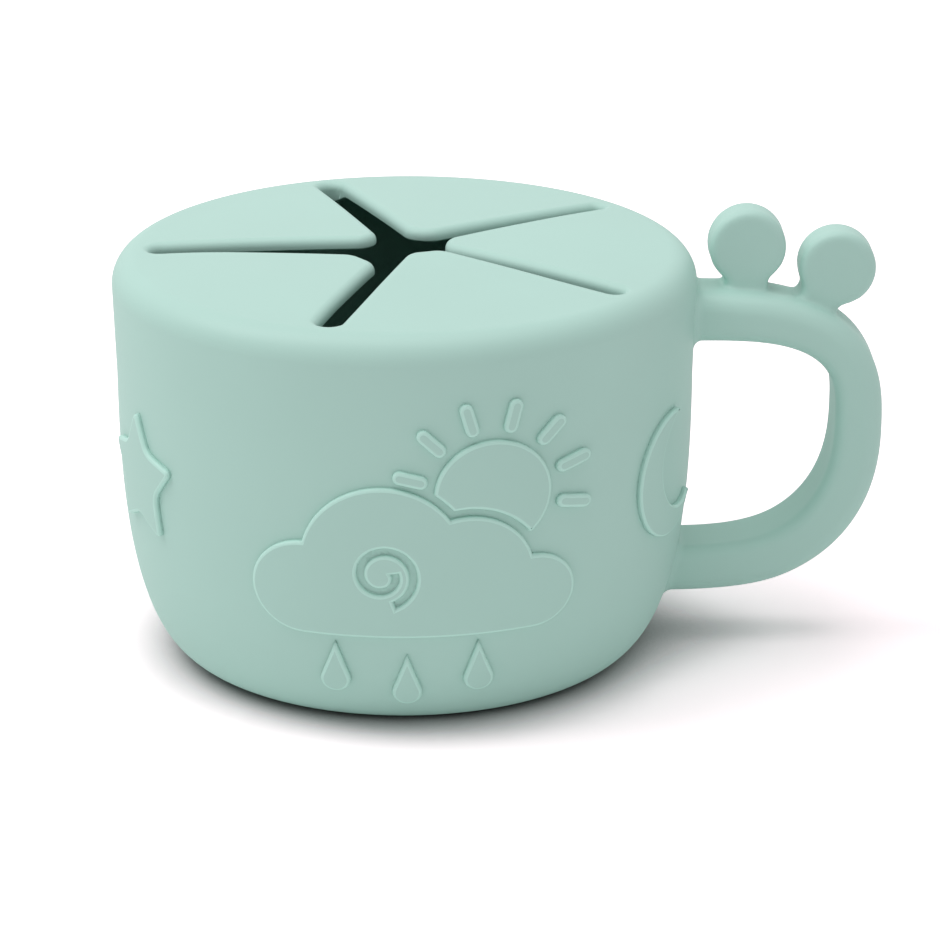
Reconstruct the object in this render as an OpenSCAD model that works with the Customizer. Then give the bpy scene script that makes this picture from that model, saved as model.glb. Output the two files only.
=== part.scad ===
// Toddler snack cup: a soft silicone mug whose star-slit top lets a small hand reach in.
// The cup stands on z = 0 with its axis on Z, and the handle points along +X.

/* [Cup] */
// Outside diameter at the rim
outer_d = 90; // [84:1:98]
// Height of the rim's top edge
rim_h = 63.5; // [60:0.5:72]
// Diameter of the flat that the cup stands on
base_d = 62; // [54:1:70]
// Height at which the wall begins to curve in towards the base
bowl_h = 45; // [36:1:50]
// Fullness of the curve towards the base: 2 is an ellipse, more is squarer
bowl_fullness = 2.6; // [2:0.1:3.2]
// How far the wall draws in between the rim and the curve
wall_draft = 0.4; // [0:0.1:1.5]
// Thickness of the wall and the base
wall_t = 3; // [2.2:0.1:3.8]
// Rounding of the rim's outer edge
rim_fillet = 4.3; // [3.6:0.1:6]

/* [Star top] */
// Thickness of the top and its flaps
top_t = 1.6; // [1.2:0.1:2.6]
// Clear width of the slits
slit_w = 3; // [2:0.1:4]
// Plain band between the slits' ends and the outside of the cup
rim_band = 5; // [4.4:0.1:8]
// Distance from the cup's axis to the flaps' blunt tips
tip_clear = 6.2; // [4:0.1:9]
// Clearance round the flaps' rounded roots
root_gap = 0.12; // [0.06:0.02:0.3]
// Rise of the flaps towards the middle, in degrees
flap_rise = 2.4; // [0:0.1:4]
// Droop of the front left flap below level, in degrees
flap_droop = 3.2; // [0:0.1:5]

/* [Handle] */
// Width of the handle, side to side
handle_w = 12.6; // [10:0.1:15]
// Thickness of the handle, inside to outside
handle_t = 7.6; // [6:0.1:9]
// Reach of the handle beyond the rim
handle_reach = 29.2; // [26:0.1:36]
// Drop from the rim's top edge to the handle's top
handle_drop = 6.1; // [5:0.1:9]
// Height of the handle's underside above the table
handle_foot = 8.5; // [6:0.1:12]
// Centre-line radius of the upper bend
upper_bend_r = 15.5; // [12:0.1:17]
// Length of the straight grip between the two bends
grip_straight = 4; // [2:0.1:8]
// Rounding of the handle's long edges
handle_edge_r = 2.8; // [1:0.1:2.9]

/* [Knobs] */
// Diameter of the two round knobs
knob_d = 11.9; // [10:0.1:13]
// Thickness of the knobs
knob_t = 6.4; // [5:0.1:8]
// Width of the knobs' necks
neck_w = 6.7; // [5:0.1:8]
// Rounding of the knobs' edges
knob_edge_r = 1.2; // [0.6:0.1:2]
// How far the knobs stand behind the handle's middle
knob_back = 1; // [0:0.1:2]
// Gap between the upright knob and the cup
knob_gap = 1.8; // [1:0.1:3]
// Height of the upright knob's centre above the handle
upright_rise = 6.4; // [6:0.1:9]
// Height of the leaning knob's centre above the handle's bend
leaning_rise = 5.9; // [5.6:0.1:9]
// Lean of the second knob from upright, in degrees
lean = 28; // [22:1:40]

/* [Raised motifs] */
// How far the motifs stand out of the wall
relief_h = 0.9; // [0.6:0.1:1.4]
// Height of the cloud's flat underside
cloud_foot = 17; // [13:1:20]
// Radius of the cloud's largest lobe
cloud_lobe_r = 12; // [10:0.5:13]
// Radius of the sun's disc
sun_r = 8.5; // [6.5:0.5:9.5]
// Gap between the cloud and the sun, and between the sun and its rays
motif_gap = 1.2; // [0.8:0.1:2]
// Width of the groove of the curl in the cloud
curl_w = 1.1; // [0.8:0.1:1.6]
// Radius of each raindrop's round end
drop_r = 2.2; // [1.6:0.1:2.5]
// Radius of the star, to its points
star_r = 10.5; // [8:0.5:12]
// Radius of the crescent moon
moon_r = 10; // [8:0.5:11]
// Height of the star's and the moon's centres
side_motif_h = 34; // [30:1:38]
// Angle from the front of the cup round to each side motif
side_angle = 64; // [58:1:66]

/* [Hidden] */

$fn = 96;
outer_r = outer_d / 2;
base_r = base_d / 2;
overcut = 1;                                    // how far cutters run past what they cut
silicone = [0.765, 0.886, 0.851];
silicone_relief = [0.70, 0.83, 0.79];

// Star geometry: five slits run from the middle to points spaced evenly round the rim.
flap_count = 5;
half_step = 180 / flap_count;
slit_end_r = outer_r - rim_band - slit_w / 2;   // where each slit's round end is centred
root_r = slit_end_r * cos(half_step);           // from the axis to each flap's root line
root_half = slit_end_r * sin(half_step);
root_z = rim_h - top_t / 2;                     // the root line runs at mid-thickness
edge_r = top_t / 2;                             // the flaps' edges are fully rounded

// The rim's inner corner and the level where rim and bowl meet.
inner_fillet = max(0.4, rim_fillet - wall_t);
split_z = rim_h - max(rim_fillet, top_t + inner_fillet);

// Handle centre line: a straight, a bend, the grip, a wider bend, a straight.
handle_top = rim_h - handle_drop;
upper_z = handle_top - handle_t / 2;
lower_z = handle_foot + handle_t / 2;
grip_x = outer_r + handle_reach - handle_t / 2;
lower_bend_r = upper_z - lower_z - upper_bend_r - grip_straight;
upper_bend_x = grip_x - upper_bend_r;
lower_bend_x = grip_x - lower_bend_r;

// ---- the cup's outside, as points [radius, height] pushed out by "off" along the surface ----

curve_steps = 22;
function curve_normal(q) =
    let (p = 2 * (bowl_fullness - 1) / bowl_fullness,
         n = [pow(cos(q), p) / (outer_r - wall_draft - base_r), -pow(sin(q), p) / bowl_h])
    n / norm(n);
function curve_point(q, off) =
    let (p = 2 / bowl_fullness)
    [base_r + (outer_r - wall_draft - base_r) * pow(cos(q), p), bowl_h * (1 - pow(sin(q), p))]
    + off * curve_normal(q);
// From the edge of the base up to the top of the curve.
function bowl_curve(off) = [for (i = [curve_steps : -1 : 0]) curve_point(90 * i / curve_steps, off)];
function arc(centre, r, from, to, steps = 8) =
    [for (i = [0 : steps]) centre + r * [cos(from + (to - from) * i / steps),
                                         sin(from + (to - from) * i / steps)]];

// Everything inside the cup's outer surface, up to the rim's flat top.
module cup_envelope(off = 0) {
    rotate_extrude()
        polygon(concat([[0, -off]], bowl_curve(off), [[outer_r + off, rim_h - rim_fillet]],
                       arc([outer_r - rim_fillet, rim_h - rim_fillet], rim_fillet + off, 10, 90),
                       [[0, rim_h + off]]));
}

// ---- cup ----

module bowl() {
    color(silicone)
    rotate_extrude()
        polygon(concat([[0, 0]], bowl_curve(0),
                       [[outer_r - wall_draft * (rim_h - rim_fillet - split_z)
                         / (rim_h - rim_fillet - bowl_h), split_z],
                        [outer_r - wall_t, split_z]],
                       [for (i = [0 : curve_steps]) curve_point(90 * i / curve_steps, -wall_t)],
                       [[0, wall_t]]));
}

// The rim turns over into the top, which is open where the flaps lie.
module rim() {
    color(silicone)
    difference() {
        rotate_extrude()
            polygon(concat([[outer_r - wall_t, split_z],
                            [outer_r - wall_draft * (rim_h - rim_fillet - split_z)
                             / (rim_h - rim_fillet - bowl_h), split_z]],
                           arc([outer_r - rim_fillet, rim_h - rim_fillet], rim_fillet, 0, 90),
                           [[root_r / 2, rim_h], [root_r / 2, rim_h - top_t]],
                           arc([outer_r - wall_t - inner_fillet, rim_h - top_t - inner_fillet],
                               inner_fillet, 90, 0)));
        // The opening's five straight sides run along the flaps' roots.
        rotate(half_step)
            linear_extrude(rim_h + overcut)
                circle(r = slit_end_r, $fn = flap_count);
        for (i = [0 : flap_count - 1]) {
            rotate(360 * i / flap_count) {
                // A hollow for the root's round edge, open below so that the flap can swing down.
                translate([root_r, 0, root_z])
                    rotate([90, 0, 0])
                        cylinder(r = edge_r + root_gap, h = 2 * root_half, center = true);
                translate([0, -root_half, root_z - top_t])
                    cube([root_r + edge_r + root_gap, 2 * root_half, top_t]);
            }
            rotate(half_step + 360 * i / flap_count)
                translate([slit_end_r, 0, root_z - top_t])
                    cylinder(d = slit_w, h = 2 * top_t);
        }
    }
}

// ---- flaps: flat petals with a round edge all round, each hung on its root line ----

side_inset = slit_w / 2 + edge_r;               // from a slit's middle to the edge's centre line

// Everything on the -X side of the line X = 0, between the petal's faces, with a round edge
module round_edged_half() {
    reach = 2 * outer_r;
    translate([0, reach, 0])
        rotate([90, 0, 0])
            linear_extrude(2 * reach) {
                circle(edge_r);
                translate([-reach, -edge_r])
                    square([reach, top_t]);
            }
}

// Everything on the petal's side of one slit: side is 1 to the left of the petal, -1 to the right
module beside_slit(side) {
    rotate(side * half_step)
        translate([0, -side * side_inset, 0])
            rotate(side * 90)
                round_edged_half();
}

// Root on the right, blunt tip on the left, and a side along each slit
module petal() {
    intersection() {
        translate([root_r, 0, 0])
            round_edged_half();
        translate([tip_clear + edge_r, 0, 0])
            rotate(180)
                round_edged_half();
        beside_slit(1);
        beside_slit(-1);
    }
}

// A flap points along "angle" from the handle and rises by "tilt" degrees towards the middle.
module flap(angle, tilt) {
    color(silicone)
    rotate(angle)
        translate([root_r, 0, root_z])
            rotate([0, tilt, 0])
                translate([-root_r, 0, 0])
                    petal();
}

module flap_handle_side() { flap(0, flap_rise); }
module flap_back_right() { flap(2 * half_step, flap_rise); }
module flap_back_left() { flap(4 * half_step, flap_rise); }
module flap_front_left() { flap(6 * half_step, -flap_droop); }
module flap_front_right() { flap(8 * half_step, flap_rise); }

// ---- handle ----

module rounded_rect(w, h, r) {
    square([w - 2 * r, h], center = true);
    square([w, h - 2 * r], center = true);
    for (x = [-1, 1], y = [-1, 1])
        translate([x * (w / 2 - r), y * (h / 2 - r)])
            circle(r, $fn = 32);
}

module handle_section() { rounded_rect(handle_t, handle_w, handle_edge_r); }

// One straight run of the handle, along +X from "x" at height "z"
module handle_arm(x, z, length) {
    translate([x, 0, z])
        rotate([90, 0, 90])
            linear_extrude(length)
                rounded_rect(handle_w, handle_t, handle_edge_r);
}

// A quarter bend about a Y axis at [x, z], starting at "from" degrees above +X
module handle_bend(x, z, r, from) {
    translate([x, 0, z])
        rotate([90, 0, 0])
            rotate(from)
                rotate_extrude(angle = 90)
                    translate([r, 0])
                        handle_section();
}

module handle_band() {
    handle_arm(0, upper_z, upper_bend_x);
    handle_bend(upper_bend_x, upper_z - upper_bend_r, upper_bend_r, 0);
    translate([grip_x, 0, lower_z + lower_bend_r])
        linear_extrude(grip_straight)
            handle_section();
    handle_bend(lower_bend_x, lower_z + lower_bend_r, lower_bend_r, -90);
    handle_arm(0, lower_z, lower_bend_x);
}

module handle() {
    color(silicone)
    difference() {
        handle_band();
        cup_envelope();
    }
}

// A round knob centred on the origin, with its neck running down by "rise" and into the handle
module knob(rise) {
    rotate([90, 0, 0])
        rotate_extrude()
            intersection() {
                rounded_rect(knob_d, knob_t, knob_edge_r);
                translate([0, -knob_t])
                    square([knob_d, 2 * knob_t]);
            }
    translate([0, 0, -rise - handle_t / 2])
        linear_extrude(rise + handle_t / 2)
            rounded_rect(neck_w, knob_t, knob_edge_r);
}

module knob_upright() {
    color(silicone)
    difference() {
        translate([outer_r + knob_gap + knob_d / 2, knob_back, handle_top + upright_rise])
            knob(upright_rise);
        handle_band();
    }
}

module knob_leaning() {
    color(silicone)
    difference() {
        translate([upper_bend_x, knob_back, upper_z - upper_bend_r])
            rotate([0, lean, 0])
                translate([0, 0, upper_bend_r + handle_t / 2 + leaning_rise])
                    knob(leaning_rise);
        handle_band();
    }
}

// ---- motifs: outlines drawn flat, seen straight on, and raised from the wall ----

// Raise a flat outline out of the wall, "angle" degrees round from the front of the cup.
module raised(angle) {
    intersection() {
        difference() {
            cup_envelope(relief_h);
            cup_envelope();
        }
        rotate([90, 0, angle])
            linear_extrude(outer_r + overcut + relief_h)
                children();
    }
}

module pill(a, b, w) {
    along = b - a;
    translate(a)
        rotate(atan2(along[1], along[0])) {
            translate([0, -w / 2])
                square([norm(along), w]);
            circle(d = w, $fn = 32);
            translate([norm(along), 0])
                circle(d = w, $fn = 32);
        }
}

// The cloud's four lobes, each [across, up from its underside, radius]
cloud_lobes = [[-15, 0.62 * cloud_lobe_r, 0.62 * cloud_lobe_r],
               [-3.5, cloud_lobe_r, cloud_lobe_r],
               [9, 0.8 * cloud_lobe_r, 0.8 * cloud_lobe_r],
               [18.5, 0.5 * cloud_lobe_r, 0.5 * cloud_lobe_r]];

module cloud_outline(grow = 0) {
    for (lobe = cloud_lobes)
        translate([lobe[0], cloud_foot + lobe[1]])
            circle(lobe[2] + grow);
    translate([cloud_lobes[0][0], cloud_foot - grow])
        square([cloud_lobes[3][0] - cloud_lobes[0][0], cloud_lobe_r + grow]);
}

// A curl is let into the cloud: a groove that winds in towards its middle.
curl_steps = 40;
curl_centre = [-3.5, cloud_foot + 0.85 * cloud_lobe_r];
function curl_point(t, side) =
    curl_centre + (5 - 3.2 * t + side * curl_w / 2) * [cos(440 * t - 70), sin(440 * t - 70)];
module curl_outline() {
    polygon(concat([for (i = [0 : curl_steps]) curl_point(i / curl_steps, 1)],
                   [for (i = [curl_steps : -1 : 0]) curl_point(i / curl_steps, -1)]));
}

module relief_cloud() {
    color(silicone_relief)
    raised(0)
        difference() {
            cloud_outline();
            curl_outline();
        }
}

sun_centre = [12.5, cloud_foot + 1.85 * cloud_lobe_r];
ray_count = 7;
ray_w = 2;
ray_l = 3.2;
module relief_sun() {
    color(silicone_relief)
    raised(0) {
        difference() {
            translate(sun_centre)
                circle(sun_r);
            cloud_outline(motif_gap);
        }
        for (i = [0 : ray_count - 1]) {
            a = -14 + i * 30;
            dir = [cos(a), sin(a)];
            pill(sun_centre + (sun_r + motif_gap + ray_w / 2) * dir,
                 sun_centre + (sun_r + motif_gap + ray_w / 2 + ray_l) * dir, ray_w);
        }
    }
}

// Three drops fall from the cloud, each a circle drawn up to a point.
drop_l = 3 * drop_r;
drop_places = [[-10.5, -5.5], [0, -7.5], [10.5, -5.5]];
module raindrop() {
    touch = acos(drop_r / drop_l);              // from straight up, round to where the sides begin
    polygon(concat(arc([0, 0], drop_r, 90 + touch, 450 - touch, 20), [[0, drop_l]]));
}
module relief_raindrops() {
    color(silicone_relief)
    raised(0)
        for (place = drop_places)
            translate([place[0], cloud_foot + place[1] - drop_r])
                raindrop();
}

module relief_star() {
    star_inner = 0.55 * star_r;
    color(silicone_relief)
    raised(-side_angle)
        translate([0, side_motif_h])
            polygon([for (i = [0 : 9]) (i % 2 == 0 ? star_r : star_inner)
                     * [sin(36 * i), cos(36 * i)]]);
}

module relief_moon() {
    color(silicone_relief)
    raised(side_angle)
        translate([0, side_motif_h])
            difference() {
                circle(moon_r);
                translate([0.42 * moon_r, 0.18 * moon_r])
                    circle(0.82 * moon_r);
            }
}

bowl();
rim();
flap_handle_side();
flap_back_right();
flap_back_left();
flap_front_left();
flap_front_right();
handle();
knob_upright();
knob_leaning();
relief_cloud();
relief_sun();
relief_raindrops();
relief_star();
relief_moon();
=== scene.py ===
# %% [markdown]
# # A toddler's snack cup in soft silicone
#
# The real cup is one moulding: a round bowl, a rim that turns over into a thin top, five slits that
# cut the top into a star of flaps, a loop handle with two round knobs, and raised motifs on the
# wall. The engineering model gives the size and place of each region as a plain solid. This
# notebook models the visible skin over those solids, with the soft edges that a mould leaves.

# %% Load the frame
import math

import bmesh
import bpy
from mathutils import Matrix, Vector


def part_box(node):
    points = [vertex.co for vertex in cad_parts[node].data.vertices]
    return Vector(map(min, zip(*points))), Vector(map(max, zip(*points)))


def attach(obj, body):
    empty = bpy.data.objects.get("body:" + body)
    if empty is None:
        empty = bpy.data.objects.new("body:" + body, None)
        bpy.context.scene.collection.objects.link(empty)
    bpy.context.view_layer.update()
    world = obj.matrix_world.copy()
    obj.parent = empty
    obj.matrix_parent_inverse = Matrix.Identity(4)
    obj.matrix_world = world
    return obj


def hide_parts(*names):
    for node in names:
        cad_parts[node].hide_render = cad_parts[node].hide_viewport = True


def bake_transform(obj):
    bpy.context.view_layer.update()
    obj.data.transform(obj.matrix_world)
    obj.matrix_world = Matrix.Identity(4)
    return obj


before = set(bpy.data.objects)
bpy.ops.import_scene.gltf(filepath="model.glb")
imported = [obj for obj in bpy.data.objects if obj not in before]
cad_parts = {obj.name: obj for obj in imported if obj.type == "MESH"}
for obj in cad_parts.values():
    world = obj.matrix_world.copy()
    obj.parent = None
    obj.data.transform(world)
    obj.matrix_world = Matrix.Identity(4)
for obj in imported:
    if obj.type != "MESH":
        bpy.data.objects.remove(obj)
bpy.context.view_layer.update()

# %% [markdown]
# ## Driving sizes
#
# Sizes that the frame already holds are read from its boxes, so that the skin follows the solids.
# The rest are the sizes that the solids were drawn from, but for the top: the photograph shows it
# thicker towards the rim, and its slits uneven, while the solids keep one thickness and one width.

# %% Sizes
mm = 0.001
outer_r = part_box("rim")[1].x          # outside radius at the rim
rim_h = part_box("rim")[1].z            # height of the top
base_r = 31 * mm                      # radius of the flat that the cup stands on
curve_h = 45 * mm                     # the wall curves in below this height
fullness = 2.6                        # shape of that curve: 2 is an ellipse, more is squarer
draft = 0.4 * mm                      # the wall draws in this much between rim and curve
wall_t = 3 * mm
top_t = 1.9 * mm                      # at the flaps' tips; the top grows thicker towards the rim
rim_fillet = 4.3 * mm
around = 180                          # steps of a full turn, two degrees each
print(f"cup {2 * outer_r / mm:.1f} mm across, {rim_h / mm:.1f} mm high")

# %% [markdown]
# ## Small helpers
#
# Every piece is built in a bmesh, the editable mesh that Blender's operators work on, and becomes
# an object only when it is finished. The object stays at the origin: its place is in its mesh.

# %% Helpers that turn a bmesh into an object
def as_object(bm, name):
    """Turns a bmesh into an object of the scene."""
    mesh = bpy.data.meshes.new(name)
    bm.to_mesh(mesh)
    bm.free()
    made = bpy.data.objects.new(name, mesh)
    bpy.context.scene.collection.objects.link(made)
    return made


def take_in(whole, bm):
    """Adds the mesh of one bmesh to another."""
    spare = bpy.data.meshes.new("spare")
    bm.to_mesh(spare)
    bm.free()
    whole.from_mesh(spare)
    bpy.data.meshes.remove(spare)


def finish_mesh(bm, name, *materials, weighted=True):
    """Turns a bmesh into a smooth-shaded object that wears one material or more."""
    piece = as_object(bm, name)
    mesh = piece.data
    for material in materials:
        mesh.materials.append(material)
    mesh.shade_smooth()
    if weighted:
        # Large flat faces keep their own shading beside the small faces of a rounded edge.
        normals = piece.modifiers.new("weighted_normals", "WEIGHTED_NORMAL")
        normals.keep_sharp = True
        normals.weight = 90
    print(f"{name}: {len(mesh.polygons)} faces")
    return piece

# %% Helpers that shape a bmesh
hair = 0.01 * mm                      # two places closer than this count as one


def outline_face(bm, points):
    """One flat face through a closed outline of points."""
    return bm.faces.new([bm.verts.new(p) for p in points])


def lift(bm, face, step):
    """Extrudes one face by a vector and returns the moved face."""
    out = bmesh.ops.extrude_face_region(bm, geom=[face])["geom"]
    moved = [g for g in out if isinstance(g, bmesh.types.BMVert)]
    bmesh.ops.translate(bm, verts=moved, vec=step)
    return next(g for g in out if isinstance(g, bmesh.types.BMFace))


def level_edges(bm):
    """The edges of a plate that don't run through its thickness, which lies along Y."""
    return [e for e in bm.edges if abs(e.verts[0].co.y - e.verts[1].co.y) < hair]


def round_off(bm, geom, rounding, segments=8, affect="EDGES"):
    """Rounds sharp edges, or a flat outline's corners with affect="VERTICES"."""
    return bmesh.ops.bevel(bm, geom=geom, offset=rounding, segments=segments, profile=0.5,
                           affect=affect, clamp_overlap=False, material=-1)["faces"]


def slice_up(bm, geom, where, facing, dist=0.0001 * mm):
    """Cuts faces along a plane and returns all of them again."""
    return bmesh.ops.bisect_plane(bm, geom=geom, dist=dist, plane_co=where,
                                  plane_no=facing)["geom"]


def everything(bm):
    return bm.verts[:] + bm.edges[:] + bm.faces[:]


def arc(centre, radius, start, end, steps):
    """Points in a plane along an arc, with angles in degrees."""
    angles = [math.radians(start + (end - start) * i / steps) for i in range(steps + 1)]
    return [(centre[0] + radius * math.cos(a), centre[1] + radius * math.sin(a)) for a in angles]

# %% [markdown]
# ## Silicone
#
# Cast silicone is matt but not dry: it scatters light softly, shows no grain from a step away, and
# has only a broad, dim highlight. A Principled shader with a middling roughness does that. Faint
# large-scale noise keeps the surface from looking like paint, and a very fine bump stands for the
# blasted surface of the mould. Noise reads Object coordinates, so it stays on the piece. The same
# silicone comes in three copies. The first is the plain one. The second is a darker one inside the
# hollow, which paints the shade there so that the hollow looks almost black. The third is a paler
# one on the motifs' thin rounded edges, which paints a highlight along them.

# %% A small class that lets sockets take part in sums
class Socket:
    """A node's output that Python's operators can add to or multiply."""

    def __init__(self, maker, output):
        self.maker = maker
        self.output = output

    def join(self, operation, first, second):
        return self.maker.add("ShaderNodeMath", {"operation": operation}, {0: first, 1: second})

    def __add__(self, other):
        return self.join("ADD", self, other)

    def __mul__(self, other):
        return self.join("MULTIPLY", self, other)

    __radd__ = __add__
    __rmul__ = __mul__


class NodeMaker:
    """Adds nodes to one material, or to the world."""

    def __init__(self, material):
        self.tree = material.node_tree

    def add(self, kind, settings=None, inputs=None, output=0):
        node = self.tree.nodes.new(kind)
        for name, value in (settings or {}).items():
            setattr(node, name, value)
        for name, value in (inputs or {}).items():
            self.feed(node.inputs[name], value)
        return Socket(self, node.outputs[output]) if node.outputs else None

    def feed(self, socket, value):
        if isinstance(value, Socket):
            self.tree.links.new(value.output, socket)
        else:
            socket.default_value = value


def new_material(name):
    """A material with an empty Principled shader, and a maker for its nodes."""
    material = bpy.data.materials.new(name)
    material.use_nodes = True
    return material, NodeMaker(material), material.node_tree.nodes["Principled BSDF"]

# %% The silicone material
def silicone_material(name, colour, mottle=0.035):
    """Matt silicone of one colour, given as linear red, green and blue."""
    material, maker, shader = new_material(name)
    place = maker.add("ShaderNodeTexCoord", output="Object")
    broad = maker.add("ShaderNodeTexNoise", inputs={"Vector": place, "Scale": 38.0, "Detail": 3.0})
    grain = maker.add("ShaderNodeTexNoise",
                      inputs={"Vector": place, "Scale": 5200.0, "Detail": 2.0})
    darker = [c * (1 - mottle) for c in colour] + [1.0]
    lighter = [min(1.0, c * (1 + mottle)) for c in colour] + [1.0]
    tint = maker.add("ShaderNodeMix", {"data_type": "RGBA"}, {0: broad, 6: darker, 7: lighter},
                     output=2)
    bump = maker.add("ShaderNodeBump", inputs={"Strength": 0.06, "Distance": 0.00004,
                                               "Height": grain})
    maker.feed(shader.inputs["Base Color"], tint)
    maker.feed(shader.inputs["Roughness"], 0.46 + 0.10 * broad)
    maker.feed(shader.inputs["Normal"], bump)
    shader.inputs["Specular IOR Level"].default_value = 0.45
    return material


mint = (0.47, 0.70, 0.632)
# Painted shade: a darker copy of the mint for the faces inside the hollow, so that it looks almost
# black.
hollow_shade_mint = (0.20, 0.38, 0.32)
# Painted highlight: a paler copy of the mint for the motifs' thin rounded edges.
highlight_mint = tuple(1.17 * c for c in mint)
silicone = silicone_material("mint_silicone", mint)
painted_shade_silicone = silicone_material("mint_silicone_painted_shade", hollow_shade_mint)
painted_highlight_silicone = silicone_material("mint_silicone_painted_highlight", highlight_mint)
print("silicone colours, linear:", mint, hollow_shade_mint, highlight_mint)

# %% [markdown]
# ## The cup's outside curve
#
# The wall is nearly straight from the rim down to about two thirds of the height, and then turns in
# to the base along a curve that is squarer than an ellipse. One formula gives the radius at any
# height, and the slope of that formula gives the direction that the surface faces. The handle's
# ends and the raised motifs use the same two functions to sit on the wall.

# %% The wall's formula
def wall_radius(z):
    """Outside radius of the cup at a height below the rim's rounding."""
    if z >= curve_h:
        return outer_r - draft * (rim_h - rim_fillet - z) / (rim_h - rim_fillet - curve_h)
    below = min(1.0, 1 - z / curve_h)
    return base_r + (outer_r - draft - base_r) * (1 - below ** fullness) ** (1 / fullness)


def wall_facing(z):
    """Outward and upward parts of the surface's direction at a height."""
    step = 0.02 * mm
    low, high = max(z - step, 0.0), z + step
    rise = Vector((wall_radius(high) - wall_radius(low), high - low)).normalized()
    return rise.y, -rise.x


def bowl_curve(offset, steps=44):
    """Points up the curved part, pushed out by an offset along the surface's own direction."""
    p, q = 2 / fullness, 2 * (fullness - 1) / fullness
    width = outer_r - draft - base_r
    points = []
    for i in range(steps + 1):
        turn = math.radians(90 * (1 - i / steps))
        c, s = max(math.cos(turn), 0.0), math.sin(turn)
        facing = Vector((c ** q / width, -s ** q / curve_h)).normalized()
        points.append(Vector((base_r + width * c ** p, curve_h * (1 - s ** p))) + offset * facing)
    return points


print(f"radius half way up: {wall_radius(rim_h / 2) / mm:.2f} mm")

# %% [markdown]
# ## One hollow moulding
#
# A turned shape is made by spinning its profile round the axis. The outside profile runs from the
# edge of the base up the wall and round the rim, and the inside profile follows it a wall's
# thickness in, up to a wide fillet under the top, which thins towards the middle. The holes left
# at the axis are each closed by one flat face, which stays perfectly flat where a fan of triangles
# would meet in a pole. The inner skin is then turned to face the hollow.

# %% Spin the outside and the inside
def spun_skin(profile):
    """Spins a profile of (radius, height) points and closes both ends with a flat face."""
    bm = bmesh.new()
    verts = [bm.verts.new((r, 0, z)) for r, z in profile]
    edges = [bm.edges.new(pair) for pair in zip(verts, verts[1:])]
    bmesh.ops.spin(bm, geom=verts + edges, cent=(0, 0, 0), axis=(0, 0, 1), angle=2 * math.pi,
                   steps=around, use_merge=True)
    bmesh.ops.remove_doubles(bm, verts=bm.verts, dist=0.001 * mm)
    bmesh.ops.holes_fill(bm, edges=[e for e in bm.edges if e.is_boundary], sides=0)
    bmesh.ops.recalc_face_normals(bm, faces=bm.faces)
    return bm


inner_fillet = 7 * mm
root_t = 2.1 * mm                    # thickness of the top where the inside's fillet begins
outside = [tuple(p) for p in bowl_curve(0)]
outside += [(wall_radius(z), z) for z in (50 * mm, 55 * mm)]
outside += arc((outer_r - rim_fillet, rim_h - rim_fillet), rim_fillet, 0, 90, 14)
inside = [tuple(p) for p in bowl_curve(-wall_t)]
fillet_r = outer_r - wall_t - inner_fillet
inside += arc((fillet_r, rim_h - root_t - inner_fillet), inner_fillet, 0, 90, 14)
ceiling_rings = [ring * mm for ring in (30, 24, 18, 12, 5)]
inside += [(r, rim_h - top_t - (root_t - top_t) * r / fillet_r) for r in ceiling_rings]
outer_skin = spun_skin(outside)
inner_skin = spun_skin(inside)
bmesh.ops.reverse_faces(inner_skin, faces=inner_skin.faces)
print("outer and inner skins:", len(outer_skin.faces), len(inner_skin.faces), "faces")

# %% [markdown]
# ## The star opening
#
# The star is drawn once as an outline of straight lines: for each flap the two corners of its blunt
# tip, and for each slit the two corners of its outer end. Bevelling those corners as points rounds
# them all. Extruded through the top, the outline becomes a cutter, and a Boolean takes it away from
# the moulding.

# %% The star's own measures
slits = 5
half_step = math.pi / slits
slit_end = 39.2 * mm                  # how far the clear slits reach from the axis
tip_round = 1.5 * mm
hinge_line = 30.4 * mm                # the flaps join the rim along lines this far from the axis
top_foot = rim_h - 6 * mm             # inside the rim's rounding, all of the top lies above this
tip_clear = [tip * mm for tip in (6.3, 6.3, 6.3, 7.3, 6.3)]     # from the axis to each flap's tip
# Slits from the handle's left, counterclockwise. Each has a right and a left wall, and each wall
# stands so many millimetres left of the slit's middle line: first beside the axis, then at the
# slit's outer end. Used silicone never lies quite true, and no two of these slits are alike.
slit_walls = [((-0.55, -0.55), (1.8, 1.6)), ((-2.7, -1.6), (2.2, 2.2)),
              ((-2.5, -3.0), (2.0, 1.2)), ((-2.2, -1.1), (2.4, 2.4)),
              ((-0.55, -0.55), (3.4, 2.3))]


def direction(angle):
    return Vector((math.cos(angle), math.sin(angle)))


def slit_side(k, side, out):
    """A point on a slit's right (-1) or left (1) wall, so far out from the axis."""
    near, far = slit_walls[k % slits][0 if side < 0 else 1]
    along = direction((2 * k + 1) * half_step)
    across = direction((2 * k + 1) * half_step + math.pi / 2)
    return out * along + (near + (far - near) * out / slit_end) * mm * across


def tip_corner(k, side):
    """Where flap k's blunt tip meets the slit on its right (-1) or left (1)."""
    slit = k - 1 if side < 0 else k
    along = direction(2 * k * half_step)
    near, far = slit_side(slit, -side, 0), slit_side(slit, -side, slit_end)
    part = (tip_clear[k] - near.dot(along)) / (far - near).dot(along)
    return near + part * (far - near)


print("widths of the tips, mm:",
      [round((tip_corner(k, 1) - tip_corner(k, -1)).length / mm, 1) for k in range(slits)])

# %% The star cutter
cutter_h = 8 * mm
end_roundness = 0.49                  # of a slit's width; at a half the round corners would meet


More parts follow.
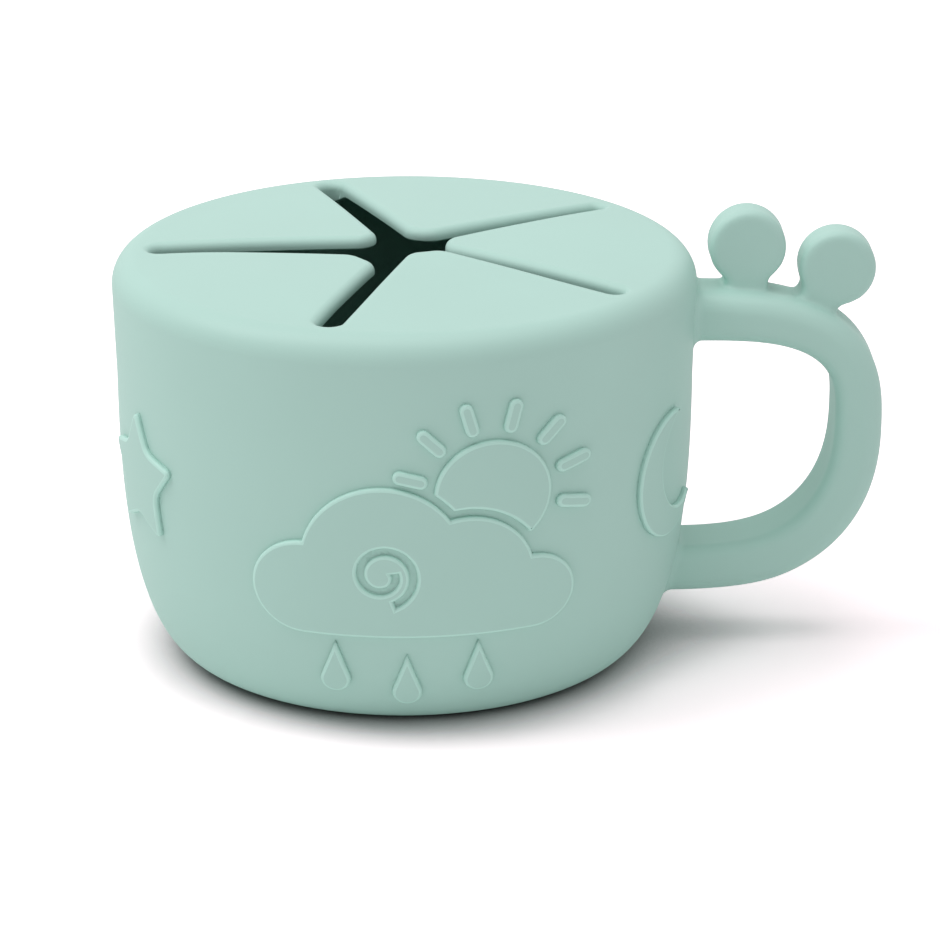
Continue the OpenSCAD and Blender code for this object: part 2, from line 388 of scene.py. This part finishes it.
def star_cutter():
    """The star's outline with round corners, as a solid that passes through the top."""
    bm = bmesh.new()
    points = []
    for k in range(slits):
        points += [tip_corner(k, -1), tip_corner(k, 1)]
        points += [slit_side(k, -1, slit_end), slit_side(k, 1, slit_end)]
    corners = outline_face(bm, [(p.x, p.y, top_foot) for p in points]).verts[:]
    for k in range(slits):
        tips, ends = corners[4 * k:4 * k + 2], corners[4 * k + 2:4 * k + 4]
        round_off(bm, tips, tip_round, affect="VERTICES")
        end_width = slit_walls[k][1][1] - slit_walls[k][0][1]
        round_off(bm, ends, end_roundness * end_width * mm, affect="VERTICES")
    lift(bm, bm.faces[:][0], (0, 0, cutter_h))
    bmesh.ops.recalc_face_normals(bm, faces=bm.faces)
    return bm


cutter_bm = star_cutter()
print("star cutter:", len(cutter_bm.faces), "faces")

# %% Cut the star out of the moulding
def boolean(bm, tool_bm):
    """Takes one bmesh away from another and returns the result as a new bmesh."""
    body, tool = as_object(bm, "boolean_body"), as_object(tool_bm, "boolean_tool")
    modifier = body.modifiers.new("cut", "BOOLEAN")
    modifier.operation, modifier.object, modifier.solver = "DIFFERENCE", tool, "EXACT"
    result = bmesh.new()
    result.from_object(body, bpy.context.evaluated_depsgraph_get())
    for spare in (body, tool):
        bpy.data.meshes.remove(spare.data)
    return result


take_in(outer_skin, inner_skin)
moulding = boolean(outer_skin, cutter_bm)
bmesh.ops.remove_doubles(moulding, verts=moulding.verts, dist=0.0005 * mm)
print("moulding:", len(moulding.faces), "faces; open edges:",
      sum(not e.is_manifold for e in moulding.edges))

# %% [markdown]
# ## Soft slit edges
#
# On the cup the slits' edges are well rounded, so that they don't pinch a hand. The sharp edges left
# by the cut are found by where they lie and how steep they are, and bevelled: widely above, and less
# below.

# %% Round the slits' edges
def slit_edges(bm, side):
    """The star's upper (1) or lower (-1) edges: between an upright face and a fairly level one."""
    found = []
    for edge in bm.edges:
        reach = max(v.co.xy.length for v in edge.verts)
        if len(edge.link_faces) != 2 or reach > slit_end + 0.2 * mm:
            continue
        wall, level = sorted((f.normal.z for f in edge.link_faces), key=abs)
        if abs(wall) < 0.2 and side * level > 0.6 and edge.verts[0].co.z > top_foot:
            found.append(edge)
    return found


for side, rounding in ((1, 1.35 * mm), (-1, 0.3 * mm)):
    sharp = slit_edges(moulding, side)
    round_off(moulding, sharp, rounding, segments=7)
    print(f"rounded {len(sharp)} edges by {rounding / mm:.2f} mm")

# %% [markdown]
# ## Five flaps that bend
#
# Each flap must bend in when a hand goes through, so it is a piece of its own, cut from the same
# moulding along a straight line across its root. Because both sides of the cut keep the same
# points, no seam shows. Bisecting cuts the faces along a plane without removing anything, and the
# faces are then shared out by where they lie.

# %% Cut along the flaps' roots
def flap_direction(k):
    """The level direction from the axis through the middle of flap k."""
    return direction(2 * k * half_step).to_3d()


def top_geometry(bm):
    """The faces of the thin top, with their edges and corners."""
    faces = [f for f in bm.faces if min(v.co.z for v in f.verts) > top_foot
             and f.calc_center_median().xy.length < outer_r - rim_fillet]
    return faces + list({e for f in faces for e in f.edges} | {v for f in faces for v in f.verts})


top_faces = top_geometry(moulding)
for k in range(slits):
    top_faces = slice_up(moulding, top_faces, hinge_line * flap_direction(k), flap_direction(k))
print("pieces of the top after the root cuts:", len(top_faces))

# %% [markdown]
# The top isn't flat either: it swells by about a millimetre from the rim to the middle, which
# stiffens the flaps. A grid of cuts gives the wide faces points enough to follow the swell.

# %% Swell the top
top_swell = 1.1 * mm
flat_r = outer_r - rim_fillet
grid_step, off_axis = 2.2 * mm, 0.03 * mm         # the cuts stay just off the axes
for i in range(-18, 19):
    place = grid_step * i + off_axis
    top_faces = slice_up(moulding, top_faces, (place, 0, 0), (1, 0, 0))
    top_faces = slice_up(moulding, top_faces, (0, place, 0), (0, 1, 0))
for vert in moulding.verts:
    if vert.co.z > top_foot and vert.co.xy.length < flat_r:
        vert.co.z += top_swell * (1 - (vert.co.xy.length / flat_r) ** 2)
print("moulding:", len(moulding.faces), "faces after the cuts")

# %% Share the moulding out
def flap_of(face):
    """The number of the flap that a face belongs to, or None for the cup."""
    centre = face.calc_center_median()
    if centre.z < top_foot:
        return None
    k = round(math.atan2(centre.y, centre.x) / (2 * half_step)) % slits
    return k if centre.dot(flap_direction(k)) < hinge_line else None


hollow_middle = Vector((0, 0, 30 * mm))
facing_least = 0.3                    # cosine of the widest angle at which a face still faces a way


def part_of_moulding(k):
    """A copy of the faces of one flap, or of the cup where k is None, closed across the cut.

    Faces that look into the hollow get the second material, a darker copy that paints the shade
    there.
    """
    bm = moulding.copy()
    bmesh.ops.delete(bm, geom=[f for f in bm.faces if flap_of(f) != k], context="FACES")
    open_edges = [e for e in bm.edges if e.is_boundary]
    caps = bmesh.ops.holes_fill(bm, edges=open_edges, sides=0)["faces"]
    for edge in {e for face in caps for e in face.edges}:
        edge.smooth = False
    bm.normal_update()
    for face in bm.faces:
        centre = face.calc_center_median()
        faces_in = face.normal.dot((hollow_middle - centre).normalized()) > facing_least
        below = centre.z < top_foot or face.normal.z < -facing_least
        # Faces that look into the hollow wear the darker copy, which paints the shade there.
        face.material_index = int(faces_in and below and face not in caps)
    return bm


owners = [flap_of(f) for f in moulding.faces]
print("faces by region:", [owners.count(k) for k in [*range(slits), None]])

# %% The cup's own piece
cup_skin = finish_mesh(part_of_moulding(None), "cup_skin", silicone, painted_shade_silicone)
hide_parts("bowl", "rim")
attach(cup_skin, "cup")

# %% [markdown]
# The flaps don't all lie in one surface: the front right one stands up a little, and the front left
# one droops below the rest, as thin silicone does after use. Moving each point up by a smooth
# function of its distance from the root line bends the flap without a crease. Extra cuts across the
# flap, close to its root, give it places to bend.

# %% Shape the flaps
bend_band = 8 * mm                    # the flap bends within this distance of its root line
bend_cuts = 12
flap_slopes = {"flap_handle_side": -0.015, "flap_back_right": 0.012, "flap_back_left": 0.0,
               "flap_front_left": -0.055, "flap_front_right": 0.03}


def soft_ramp(s):
    """Rises from zero without a corner, and then steadily."""
    return s * s / (2 * bend_band) if s < bend_band else s - bend_band / 2


for k, (node, slope) in enumerate(flap_slopes.items()):
    bm, outward = part_of_moulding(k), flap_direction(k)
    for cut in range(1, bend_cuts + 1):
        from_axis = hinge_line - bend_band * cut / bend_cuts
        slice_up(bm, everything(bm), from_axis * outward, outward)
    for vert in bm.verts:
        vert.co.z += slope * soft_ramp(max(0.0, hinge_line - vert.co.dot(outward)))
    flap = finish_mesh(bm, node + "_skin", silicone, painted_shade_silicone)
    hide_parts(node)
    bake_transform(flap)
moulding.free()

# %% [markdown]
# ## The handle
#
# Seen from the side, the loop is a D whose arms grow thicker towards the cup. Both its outer line
# and its window follow the same kind of curve as the bowl, squarer than an ellipse, so a quarter of
# such a curve is drawn four times. The flat shape between the two lines is lifted to the handle's
# width. Its outer edges are rounded widely, for a child's palm, and the window's edges less.

# %% The handle's two lines
handle_w = 2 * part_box("handle")[1].y
handle_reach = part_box("handle")[1].x - outer_r
past_top, past_foot = 0.15 * mm, 0.3 * mm         # the outer line runs this far past the solid's box
handle_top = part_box("handle")[1].z + past_top
handle_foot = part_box("handle")[0].z - past_foot
widest_out, widest_in = 35.7 * mm, 37.4 * mm      # heights at which the two lines reach furthest
grip_t = 7.5 * mm                     # the loop's thickness at its outer side
window_reach = handle_reach - grip_t
window_top, window_foot = 49.85 * mm, 16.05 * mm


def side_line(reach, top, foot, widest, squareness_up, squareness_down, steps=40):
    """A line from the cup over the top, out to the widest place, and back below."""
    points = []
    for i in range(-steps, steps + 1):
        turn = math.radians(90 * abs(i) / steps)
        squareness = squareness_up if i < 0 else squareness_down
        height = top - widest if i < 0 else foot - widest
        points.append((outer_r + reach * max(math.cos(turn), 0.0) ** (2 / squareness),
                       widest + height * math.sin(turn) ** (2 / squareness)))
    return points


outer_line = side_line(handle_reach, handle_top, handle_foot, widest_out, 2.65, 2.3)
window_line = side_line(window_reach, window_top, window_foot, widest_in, 3.1, 2.45)
print(f"handle {handle_w / mm:.1f} mm wide, {(handle_top - handle_foot) / mm:.1f} mm tall")

# %% Lift and round the handle
palm_rounding, window_rounding = 3.3 * mm, 2.2 * mm
root = outer_r - 1 * mm               # the arms start this far from the axis, inside the wall


def handle_bm():
    """The loop between its two lines, with its long edges rounded."""
    bm = bmesh.new()
    points = [(root, handle_top), *outer_line, (root, handle_foot)]
    points += [(root, window_foot), *reversed(window_line), (root, window_top)]
    face = outline_face(bm, [(x, -handle_w / 2, z) for x, z in points])
    lift(bm, face, (0, handle_w, 0))
    along = [e for e in level_edges(bm) if max(v.co.x for v in e.verts) > root + hair]
    middle = {e: (e.verts[0].co + e.verts[1].co) / 2 for e in along}
    near = 0.1 * mm
    inner = [e for e in along if window_foot - near < middle[e].z < window_top + near
             and middle[e].x < outer_r + window_reach + near]
    outer = [e for e in along if e not in inner]
    for edges, rounding in ((outer, palm_rounding), (inner, window_rounding)):
        round_off(bm, edges, rounding)
    bmesh.ops.recalc_face_normals(bm, faces=bm.faces)
    return bm


print("handle:", len(handle_bm().faces), "faces")

# %% [markdown]
# ## The two knobs
#
# Each knob is a round button on a short waisted neck. Its outline is a big arc for the button and,
# on each side, a small hollow arc that touches the big one and leads into the neck. Two circles
# that touch from outside have their centres a sum of radii apart, and that gives the height of the
# small arcs.

# %% A knob
knob_r = 5.95 * mm
knob_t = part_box("knob_upright")[1].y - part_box("knob_upright")[0].y
neck_w = 6.5 * mm
waist_r = 1.6 * mm
knob_edge = 1.2 * mm


def knob_bm(rise):
    """A knob round the origin, standing up, whose neck runs down past "rise"."""
    waist_x = neck_w / 2 + waist_r
    waist_z = -math.sqrt((knob_r + waist_r) ** 2 - waist_x ** 2)
    touch = math.degrees(math.atan2(waist_z, waist_x))
    right = arc((waist_x, waist_z), waist_r, 205, 180 + touch, 8)
    button = arc((0, 0), knob_r, touch, 180 - touch, 64)
    left = [(-x, z) for x, z in reversed(right)]
    neck_end = -rise - 3 * mm
    points = [(right[0][0], neck_end)] + right + button[1:-1] + left + [(left[-1][0], neck_end)]
    bm = bmesh.new()
    face = outline_face(bm, [(x, -knob_t / 2, z) for x, z in points])
    lift(bm, face, (0, knob_t, 0))
    round_off(bm, level_edges(bm), knob_edge)
    bmesh.ops.recalc_face_normals(bm, faces=bm.faces)
    return bm

# %% Place the knobs
upright_rise, leaning_rise, lean = 6.4 * mm, 5.9 * mm, math.radians(28)
upright_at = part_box("knob_upright")[1] - Vector((knob_r, knob_t / 2, knob_r))
leaning_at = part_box("knob_leaning")[1] - Vector((knob_r, knob_t / 2, knob_r))


def placed_knob(rise, at, turn):
    """A knob in its place on the handle, leaning by an angle towards +X."""
    bm = knob_bm(rise)
    bmesh.ops.transform(bm, matrix=Matrix.Translation(at) @ Matrix.Rotation(turn, 4, "Y"),
                        verts=bm.verts)
    return bm


print("knob centres, mm:", [round(c / mm, 1) for at in (upright_at, leaning_at) for c in at])

# %% [markdown]
# ## One skin for handle and knobs
#
# In a silicone moulding every inner corner is filled a little. A voxel remesh wraps the handle and
# the knobs in one even net, as if they had been dipped. Smoothing then pulls each point towards its
# neighbours: a few rounds everywhere, and more where the necks meet the handle, which fills those
# corners. Only then does the handle meet the wall: close to it the skin swells like a fillet, and
# its end takes the wall's own curve.

# %% Join, smooth and settle
def soften(bm, verts, rounds):
    """Pulls points half way towards their neighbours, as often as asked."""
    for _ in range(rounds):
        bmesh.ops.smooth_vert(bm, verts=verts, factor=0.5, use_axis_x=True, use_axis_y=True,
                              use_axis_z=True)


def dipped(shapes, net):
    """One even skin over closed shapes that overlap."""
    whole = bmesh.new()
    for bm in shapes:
        take_in(whole, bm)
    body = as_object(whole, "shapes")
    remesh = body.modifiers.new("dip", "REMESH")
    remesh.mode, remesh.voxel_size = "VOXEL", net
    skin = bmesh.new()
    skin.from_object(body, bpy.context.evaluated_depsgraph_get())
    bpy.data.meshes.remove(body.data)
    return skin


def settle_on_wall(bm, fillet=1.3 * mm, close=2 * mm, fade=12 * mm):
    """Swells the handle's ends into a fillet and lays them on the wall.

    Points that are close follow the wall's curve in full, and the pull then fades.
    """
    bm.normal_update()
    facing = {v: Vector((0, v.normal.y, v.normal.z)) for v in bm.verts}
    for vert in bm.verts:
        out = vert.co.x - outer_r
        if out > close + fade:
            continue
        near = min(1.0, max(0.0, out / fillet))
        if facing[vert].length > 0.5:
            vert.co += fillet * (1 - math.sqrt(1 - (1 - near) ** 2)) * facing[vert].normalized()
        pull = min(1.0, 1 - (out - close) / fade) ** 2
        vert.co.x += pull * (math.sqrt(wall_radius(vert.co.z) ** 2 - vert.co.y ** 2) - outer_r)


net_width = 0.28 * mm
loop = dipped([handle_bm(), placed_knob(upright_rise, upright_at, 0),
               placed_knob(leaning_rise, leaning_at, lean)], net_width)
upright_foot = upright_at - Vector((0, 0, upright_rise))
leaning_way = Vector((math.sin(lean), 0, math.cos(lean)))
leaning_foot = leaning_at - leaning_rise * leaning_way
feet = ((upright_foot, Vector((0, 0, 1))), (leaning_foot, leaning_way))
foot_r, foot_depth = 6.5 * mm, 2 * mm
near_feet = [v for v in loop.verts
             if any((v.co - foot).length < foot_r and (v.co - foot).dot(away) > -foot_depth
                    for foot, away in feet)]
soften(loop, near_feet, 10)
soften(loop, loop.verts, 3)
settle_on_wall(loop)
print("net of the handle:", len(loop.faces), "faces, softened at the knobs' feet:", len(near_feet))

# %% The handle's piece
handle = finish_mesh(loop, "handle_and_knobs", silicone, weighted=False)
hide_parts("handle", "knob_upright", "knob_leaning")
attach(handle, "cup")

# %% [markdown]
# ## Raised motifs
#
# The motifs stand less than a millimetre out of the wall, with rounded upper edges. Each is drawn
# flat, given its thickness and its edges, sliced finely so that it can follow a curve, and then
# wrapped: a point's distance across stays as it is, and its depth is measured out from the wall
# along the direction that the wall faces there. A Boolean makes the outlines that overlap or have a
# groove in them.

# %% Flat plates
relief_h = 0.9 * mm
sunk = 0.3 * mm                       # how deep a plate's back lies in the wall
slice_width = 1.1 * mm


def flat_plate(points, low=-sunk, high=relief_h, blunt=(), rounding=0.0):
    """A flat plate in the X-Z plane. Corners whose numbers are in "blunt" are rounded."""
    bm = bmesh.new()
    face = outline_face(bm, [(x, low, z) for x, z in points])
    corners = [v for i, v in enumerate(face.verts) if i in blunt]
    if corners:
        round_off(bm, corners, rounding, segments=5, affect="VERTICES")
    lift(bm, bm.faces[:][0], (0, high - low, 0))
    bmesh.ops.recalc_face_normals(bm, faces=bm.faces)
    return bm


def wrap_on_wall(bm, angle, rounding):
    """Rounds a plate's outer edges and lays it on the wall, an angle round from the front.

    The rounding gets the second material, a paler copy that paints a highlight along the edges.
    """
    bm.normal_update()
    rims = [e for e in bm.edges if all(v.co.y > relief_h - hair for v in e.verts)
            and min(f.normal.y for f in e.link_faces) < 0.5]
    # The rounded edges wear a paler copy of the silicone: a painted highlight.
    for face in round_off(bm, rims, rounding, segments=5):
        face.material_index = 1
    low = [min(v.co[i] for v in bm.verts) for i in range(3)]
    high = [max(v.co[i] for v in bm.verts) for i in range(3)]
    for axis in (0, 2):
        cuts = int((high[axis] - low[axis]) / slice_width)
        for i in range(1, cuts + 1):
            where, facing = Vector((0, 0, 0)), Vector((0, 0, 0))
            where[axis] = low[axis] + (high[axis] - low[axis]) * i / (cuts + 1)
            facing[axis] = 1
            slice_up(bm, everything(bm), where, facing, dist=0.001 * mm)
    for vert in bm.verts:
        across, depth, z = vert.co
        radius = wall_radius(z)
        out, up = wall_facing(z)
        side = across / radius
        front = math.sqrt(1 - side * side)
        vert.co = ((radius + depth * out) * side, -(radius + depth * out) * front, z + depth * up)
    bmesh.ops.rotate(bm, verts=bm.verts, cent=(0, 0, 0), matrix=Matrix.Rotation(angle, 3, "Z"))
    bmesh.ops.recalc_face_normals(bm, faces=bm.faces)
    if bm.calc_volume(signed=True) < 0:
        # On the crescent the search for the outside ends inside: its volume comes out negative.
        bmesh.ops.reverse_faces(bm, faces=bm.faces)
    return bm


def motif(bm, name, node, angle=0.0, rounding=0.5 * mm):
    """Finishes a plate as a raised motif that stands in for a solid of the model."""
    piece = finish_mesh(wrap_on_wall(bm, angle, rounding), name, silicone, painted_highlight_silicone)
    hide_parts(node)
    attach(piece, "cup")

# %% [markdown]
# The cloud is four round lobes on a flat foot. Where two neighbouring lobes cross, the outline
# passes from one arc to the next, and the crossing point of two circles follows from their radii
# and the distance between their centres.

# %% The cloud's outline
cloud_foot = 17 * mm
lobe = 12 * mm
cloud_lobes = [(-15 * mm, 0.62 * lobe), (-3.5 * mm, lobe), (9 * mm, 0.8 * lobe),
               (18.5 * mm, 0.5 * lobe)]


def upper_crossing(a, b):
    """The upper point where two circles (x, z, radius) cross."""
    between = Vector((b[0] - a[0], b[1] - a[1]))
    apart = between.length
    along = (apart ** 2 + a[2] ** 2 - b[2] ** 2) / (2 * apart)
    up = math.sqrt(a[2] ** 2 - along ** 2)
    d = between / apart
    return Vector((a[0] + along * d.x - up * d.y, a[1] + along * d.y + up * d.x))


def bearing(start, end):
    """The angle in degrees from one point of a plane to another."""
    return math.degrees(math.atan2(end[1] - start[1], end[0] - start[0]))


def cloud_outline(grow=0.0):
    """The lobes' outline from the foot round the top, a distance out from the cloud's own."""
    circles = [(x, cloud_foot + r, r + grow) for x, r in cloud_lobes]
    joins = [upper_crossing(a, b) for a, b in zip(circles, circles[1:])]
    last = len(circles) - 1
    points = []
    for i, (x, z, r) in enumerate(circles):
        start = 270 if i == 0 else bearing((x, z), joins[i - 1])
        end = -90 if i == last else bearing((x, z), joins[i])
        start = start + 360 if start < end else start
        points += arc((x, z), r, start, end, max(8, int((start - end) / 5)))[0 if i == 0 else 1:]
    return points


print("cloud outline:", len(cloud_outline()), "points")

# %% The cloud, with its curl let in
def curl_outline(width=1.15 * mm, turn=440, first_turn=-70, steps=72):
    """A groove that curls in from a wide end to a tight one, with angles in degrees."""
    centre = (-3.5 * mm, cloud_foot + 0.85 * lobe)
    wide, tight = 5 * mm, 1.8 * mm

    def at(t, side):
        radius = wide + (tight - wide) * t + side * width / 2
        angle = math.radians(turn * t + first_turn)
        return centre[0] + radius * math.cos(angle), centre[1] + radius * math.sin(angle)

    there = [at(i / steps, 1) for i in range(steps + 1)]
    back = [at(i / steps, -1) for i in range(steps, -1, -1)]
    return there + back


through = 3 * mm                      # cutters reach this far past a plate
cloud = boolean(flat_plate(cloud_outline()), flat_plate(curl_outline(), 0.05 * mm, through))
motif(cloud, "cloud_motif", "relief_cloud")

# %% The sun behind the cloud
sun_r, motif_gap, ray_w, ray_l = 8.5 * mm, 1.2 * mm, 2 * mm, 3.2 * mm
sun_centre = Vector((12.5 * mm, cloud_foot + 1.85 * lobe))


def pill(a, b, width):
    """Outline of a bar with round ends, from a to b."""
    along, end_r = bearing(a, b), width / 2
    return arc(b, end_r, along - 90, along + 90, 8) + arc(a, end_r, along + 90, along + 270, 8)


disc_steps = 90
disc = arc(sun_centre, sun_r, 0, 360, disc_steps)[:-1]
sun = boolean(flat_plate(disc), flat_plate(cloud_outline(motif_gap), -through, through))
bmesh.ops.remove_doubles(sun, verts=sun.verts, dist=0.2 * mm)
for i in range(7):
    angle = math.radians(-14 + 30 * i)
    ray = Vector((math.cos(angle), math.sin(angle)))
    start = sun_centre + (sun_r + motif_gap + ray_w / 2) * ray
    take_in(sun, flat_plate(pill(start, start + ray_l * ray, ray_w)))
motif(sun, "sun_motif", "relief_sun")

# %% Three raindrops
drop_r = 2.2 * mm
peak = 3                              # a drop's point is this many radii above its centre
touch = math.degrees(math.acos(1 / peak))
drops = bmesh.new()
for x, z in ((-10.5 * mm, -5.5 * mm), (0, -7.5 * mm), (10.5 * mm, -5.5 * mm)):
    centre = (x, cloud_foot + z - drop_r)
    points = arc(centre, drop_r, 90 + touch, 450 - touch, 28) + [(x, centre[1] + peak * drop_r)]
    take_in(drops, flat_plate(points))
motif(drops, "raindrop_motif", "relief_raindrops")

# %% [markdown]
# The star's points and the moon's horns are blunt, as a mould can't fill a sharp corner. Bevelling
# a flat outline's corners as points blunts them before the plate gets its thickness.

# %% The star and the moon
side_angle = math.radians(64)
side_h = 34 * mm
star_r = 10.5 * mm
star_inner = 0.55 * star_r
moon_r = 10 * mm
star_points = []
for i in range(10):
    radius, angle = (star_r, star_inner)[i % 2], math.radians(36 * i)
    star_points.append((radius * math.sin(angle), side_h + radius * math.cos(angle)))
star = flat_plate(star_points, blunt=range(10), rounding=1.3 * mm)
motif(star, "star_motif", "relief_star", -side_angle)

bite = (0.42 * moon_r, side_h + 0.18 * moon_r, 0.82 * moon_r)
horn = upper_crossing((0, side_h, moon_r), bite)
middle = bearing((0, side_h), bite)
outer_half = bearing((0, side_h), horn) - middle
inner_half = bearing(bite, horn) - middle
outer_steps = 60
moon_points = arc((0, side_h), moon_r, middle + outer_half, middle + 360 - outer_half, outer_steps)
moon_points += arc(bite, bite[2], middle + 360 - inner_half, middle + inner_half, 40)[1:-1]
moon = flat_plate(moon_points, blunt=(0, outer_steps), rounding=0.8 * mm)
motif(moon, "moon_motif", "relief_moon", side_angle, rounding=0.35 * mm)

# %% [markdown]
# ## Studio
#
# A product shot on white: soft light from above and from the left, white surroundings that fill the
# shadows, and a dark, soft shadow that hugs the cup's foot. The floor bounces light as a white card
# does. What the camera sees of it is lighter, so that it runs out to full white. It also carries a
# painted shadow: near the cup, where the Ambient Occlusion node finds less of the sky open, its
# colour for the camera is painted darker, which deepens the real shadow at the cup's foot. The
# camera's place, turn and lens were fitted so that the cup's outline meets the photograph's.

# %% Floor
def floor_material():
    """White for the light that bounces off it; for the camera lighter still, but painted darker near
    the cup as a shadow.
    """
    material, maker, shader = new_material("white_floor")
    seen = maker.add("ShaderNodeLightPath", output="Is Camera Ray")
    open_sky = maker.add("ShaderNodeAmbientOcclusion", {"samples": 12},
                         {"Distance": painted_shadow_reach}, output=1)
    # Painted shadow: for the camera the floor goes from its lighter colour to black where little of
    # the sky is open.
    shown = maker.add("ShaderNodeMix", {"data_type": "RGBA", "clamp_factor": True},
                      {0: painted_shadow_fade * open_sky, 6: (0, 0, 0, 1), 7: (*floor_shown, 1)}, output=2)
    tint = maker.add("ShaderNodeMix", {"data_type": "RGBA", "clamp_factor": True},
                     {0: seen, 6: (*floor_white, 1), 7: shown}, output=2)
    matt = maker.add("ShaderNodeBsdfDiffuse", inputs={"Color": tint})
    maker.feed(material.node_tree.nodes["Material Output"].inputs["Surface"], matt)
    material.node_tree.nodes.remove(shader)
    return material


floor_white = (0.97, 0.97, 0.97)
floor_shown = (1.56, 1.39, 1.44)
# How far the painted shadow reaches from the cup, and how strong it is.
painted_shadow_reach = 20 * mm               # how far off the cup still darkens the floor
painted_shadow_fade = 1.5                    # darker where less than two thirds of the sky shows
floor_bm = bmesh.new()
floor_r = 3.0
bmesh.ops.create_circle(floor_bm, cap_ends=True, segments=96, radius=floor_r)
floor = finish_mesh(floor_bm, "studio_floor", floor_material(), weighted=False)

# %% Lights
cup_middle = (0, 0, 0.03)


def soft_light(name, place, aim, size, power):
    """A round soft lamp, with its size in metres and its power in watts."""
    data = bpy.data.lights.new(name, "AREA")
    data.shape, data.size, data.energy = "DISK", size, power
    lamp = bpy.data.objects.new(name, data)
    lamp.location = place
    lamp.rotation_euler = (Vector(aim) - Vector(place)).to_track_quat("-Z", "Y").to_euler()
    bpy.context.scene.collection.objects.link(lamp)


soft_light("top_light", (0, 0, 1.1), cup_middle, size=0.9, power=3.7)
soft_light("left_light", (-0.7, 0, 1.0), cup_middle, size=0.7, power=4.27)

# %% White surroundings
world = bpy.data.worlds.new("studio_world")
world.use_nodes = True
maker = NodeMaker(world)
seen = (maker.add("ShaderNodeLightPath", output="Is Camera Ray")
        + maker.add("ShaderNodeLightPath", output="Is Glossy Ray")
        + maker.add("ShaderNodeLightPath", output="Is Transmission Ray"))
world_fill = 0.48
white = maker.add("ShaderNodeBackground", inputs={
    "Color": (1, 1, 1, 1), "Strength": world_fill + (1 - world_fill) * seen})
maker.feed(world.node_tree.nodes["World Output"].inputs["Surface"], white)
bpy.context.scene.world = world

# %% Camera
camera_data = bpy.data.cameras.new("camera")
camera_data.sensor_fit = "HORIZONTAL"
camera_data.sensor_width = 36
camera_data.lens = 145.35
camera = bpy.data.objects.new("camera", camera_data)
camera.location = (0, -0.5596, 0.2330)
look_down, look_right = 0.3523, 0.018             # in radians
camera.rotation_euler = (math.pi / 2 - look_down, 0, -look_right)
bpy.context.scene.collection.objects.link(camera)
bpy.context.scene.camera = camera
bpy.context.scene.view_settings.view_transform = "Standard"
